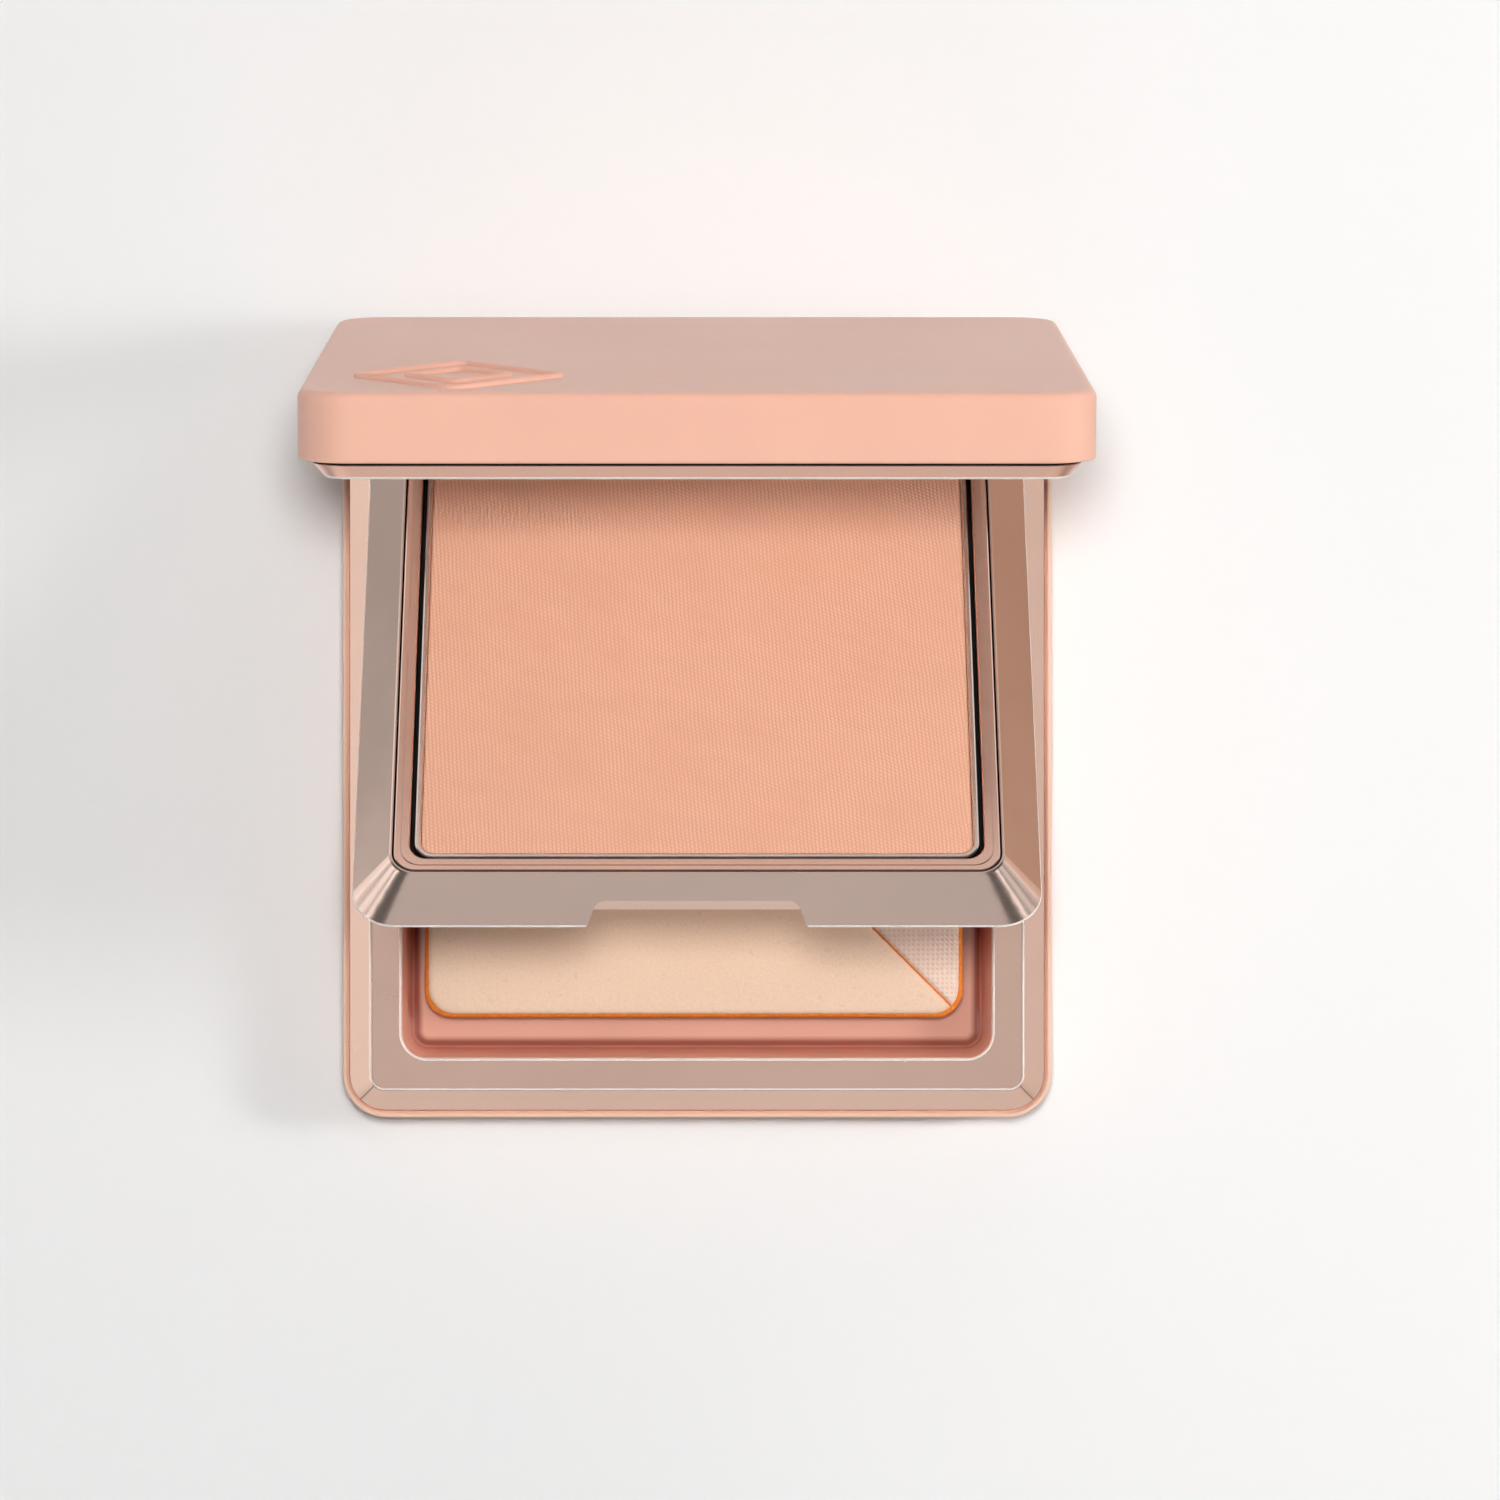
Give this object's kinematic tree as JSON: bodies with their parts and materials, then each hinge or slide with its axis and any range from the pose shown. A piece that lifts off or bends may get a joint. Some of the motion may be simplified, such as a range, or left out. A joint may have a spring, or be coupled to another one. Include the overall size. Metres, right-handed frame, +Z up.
{
  "type": "powder compact",
  "caption": "Square two-tier cosmetic compact: a hinged mirror lid, a hinged powder tray beneath it and a base well that holds an applicator sponge.",
  "frame": {"origin": "centre of the base's flat underside", "axes": "+X to the right seen from the front, +Y back towards the hinge, +Z up; the front is where the lid and tray open"},
  "size_m": [0.076, 0.0847, 0.0826],
  "materials": {
    "soft_touch_peach": "soft-touch matte",
    "label_paper": "matte",
    "rose_bezel": "satin metallised rose gold",
    "well_gloss_peach": "gloss",
    "magnet_steel": "plated",
    "pin_steel": "polished",
    "sponge_foam": "open-cell foam",
    "sponge_smooth_cloth": "flocked smooth",
    "sponge_mesh_cloth": "woven mesh",
    "tray_metal": "satin metallised rose gold",
    "tray_floor_plastic": "satin",
    "refill_plastic": "metallised satin",
    "pan_metal": "bright",
    "pressed_powder": "powdery matte",
    "lid_frame_plastic": "satin",
    "mirror_glass": "mirror",
    "tape_foam": "matte"
  },
  "bodies": {
    "base": {"base_shell": "soft_touch_peach", "bottom_label": "label_paper", "base_bezel": "rose_bezel", "sponge_well": "well_gloss_peach", "base_magnets": "magnet_steel", "hinge_pin": "pin_steel", "sponge_core": "sponge_foam", "sponge_smooth_face": "sponge_smooth_cloth", "sponge_mesh_face": "sponge_mesh_cloth"},
    "tray": {"tray_frame": "tray_metal", "tray_floor": "tray_floor_plastic", "refill_frame": "refill_plastic", "pan_magnets": "magnet_steel", "powder_pan": "pan_metal", "pressed_powder": "pressed_powder"},
    "lid": {"lid_shell": "soft_touch_peach", "lid_bezel": "rose_bezel", "lid_frame": "lid_frame_plastic", "lid_magnets": "magnet_steel", "mirror": "mirror_glass", "mirror_tape": "tape_foam"}
  },
  "joints": [
    {"name": "tray_hinge", "type": "hinge", "parent": "base", "child": "tray", "pos_m": [0, 0.0355, 0.0084], "axis": [-1, 0, 0], "range_deg": [-40, 0]},
    {"name": "lid_hinge", "type": "hinge", "parent": "tray", "child": "lid", "pos_m": [0, 0.0355, 0.0084], "axis": [-1, 0, 0], "range_deg": [-40.7, 40]}
  ]
}
